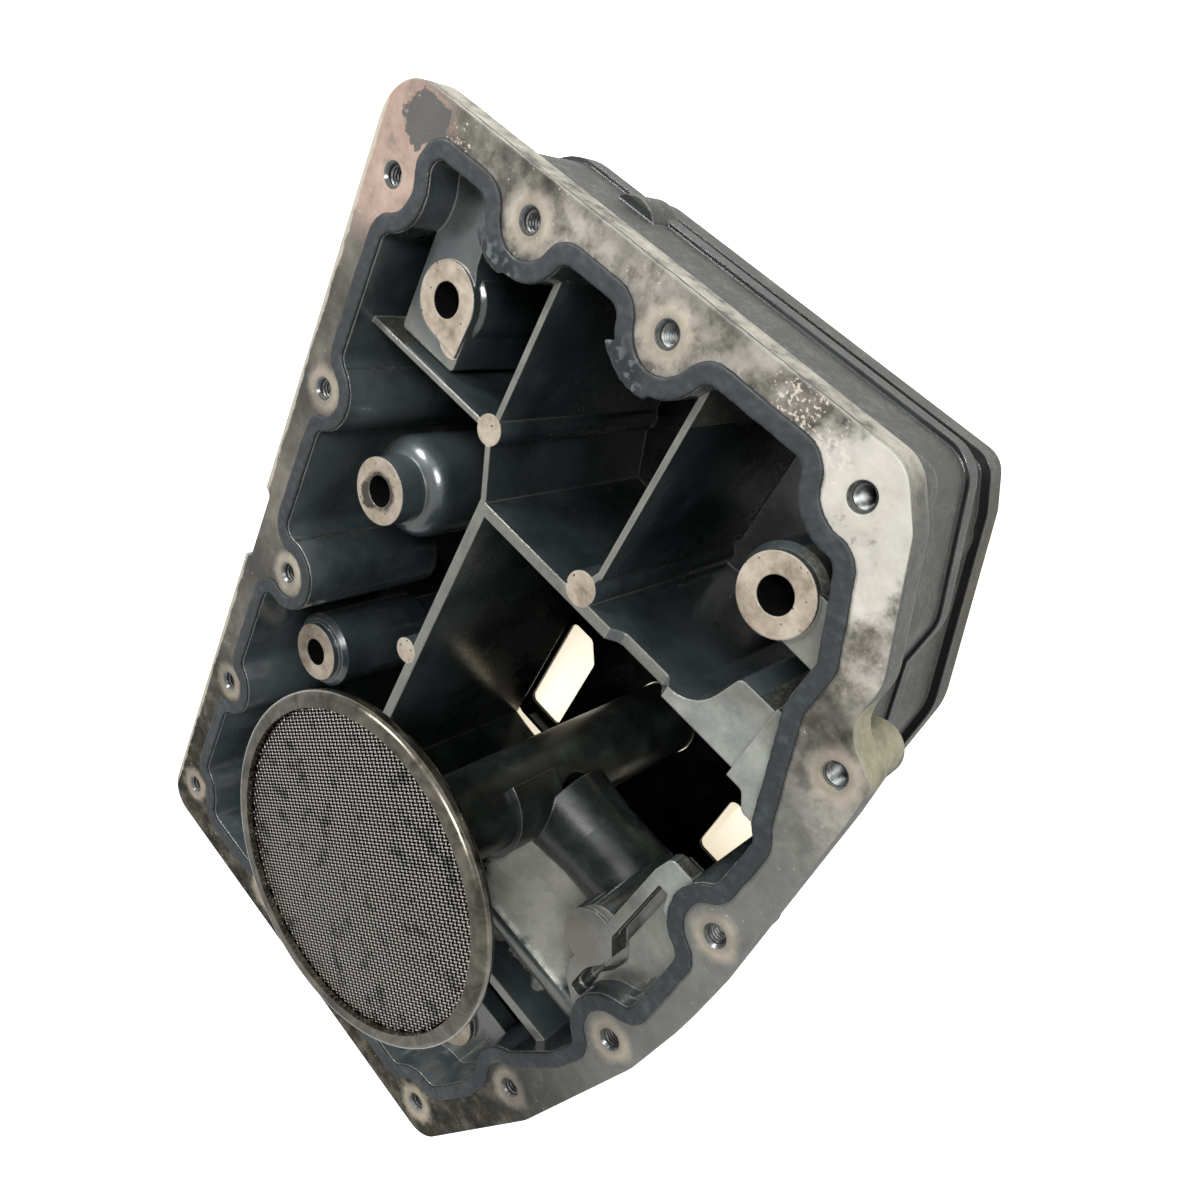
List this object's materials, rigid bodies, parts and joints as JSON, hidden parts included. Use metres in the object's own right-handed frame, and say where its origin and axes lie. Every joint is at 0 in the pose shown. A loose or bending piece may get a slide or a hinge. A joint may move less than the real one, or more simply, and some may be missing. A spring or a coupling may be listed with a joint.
{
  "type": "engine oil pan",
  "caption": "Upper engine oil pan: die-cast body with a scalloped sealing flange, ribbed sump, baffle plate and an oil pick-up with a round mesh strainer.",
  "frame": {"origin": "middle of the block face, on its plane", "axes": "+Z towards the lower-pan flange and the strainer, +Y along the pan, +X towards the oil channel side"},
  "size_m": [0.201, 0.283, 0.1498],
  "materials": {
    "cast_aluminium": "as cast with machined faces",
    "sealant": "matt cured sealant",
    "plate_steel": "oily pressed sheet",
    "screw_steel": "plated",
    "sleeve_steel": "turned",
    "strainer_steel": "oily pressed sheet",
    "mesh_steel": "woven wire",
    "tube_dark": "dark satin",
    "seal_rubber": "matt"
  },
  "bodies": {
    "root": {"pan_casting": "cast_aluminium", "sealant_bead": "sealant", "baffle_plate": "plate_steel", "baffle_screws": "screw_steel", "dowel_sleeves": "sleeve_steel", "strainer_rim": "strainer_steel", "strainer_mesh": "mesh_steel", "strainer_bell": "strainer_steel", "pickup_tube": "tube_dark", "branch_elbow": "tube_dark", "branch_seal": "seal_rubber"}
  },
  "joints": []
}
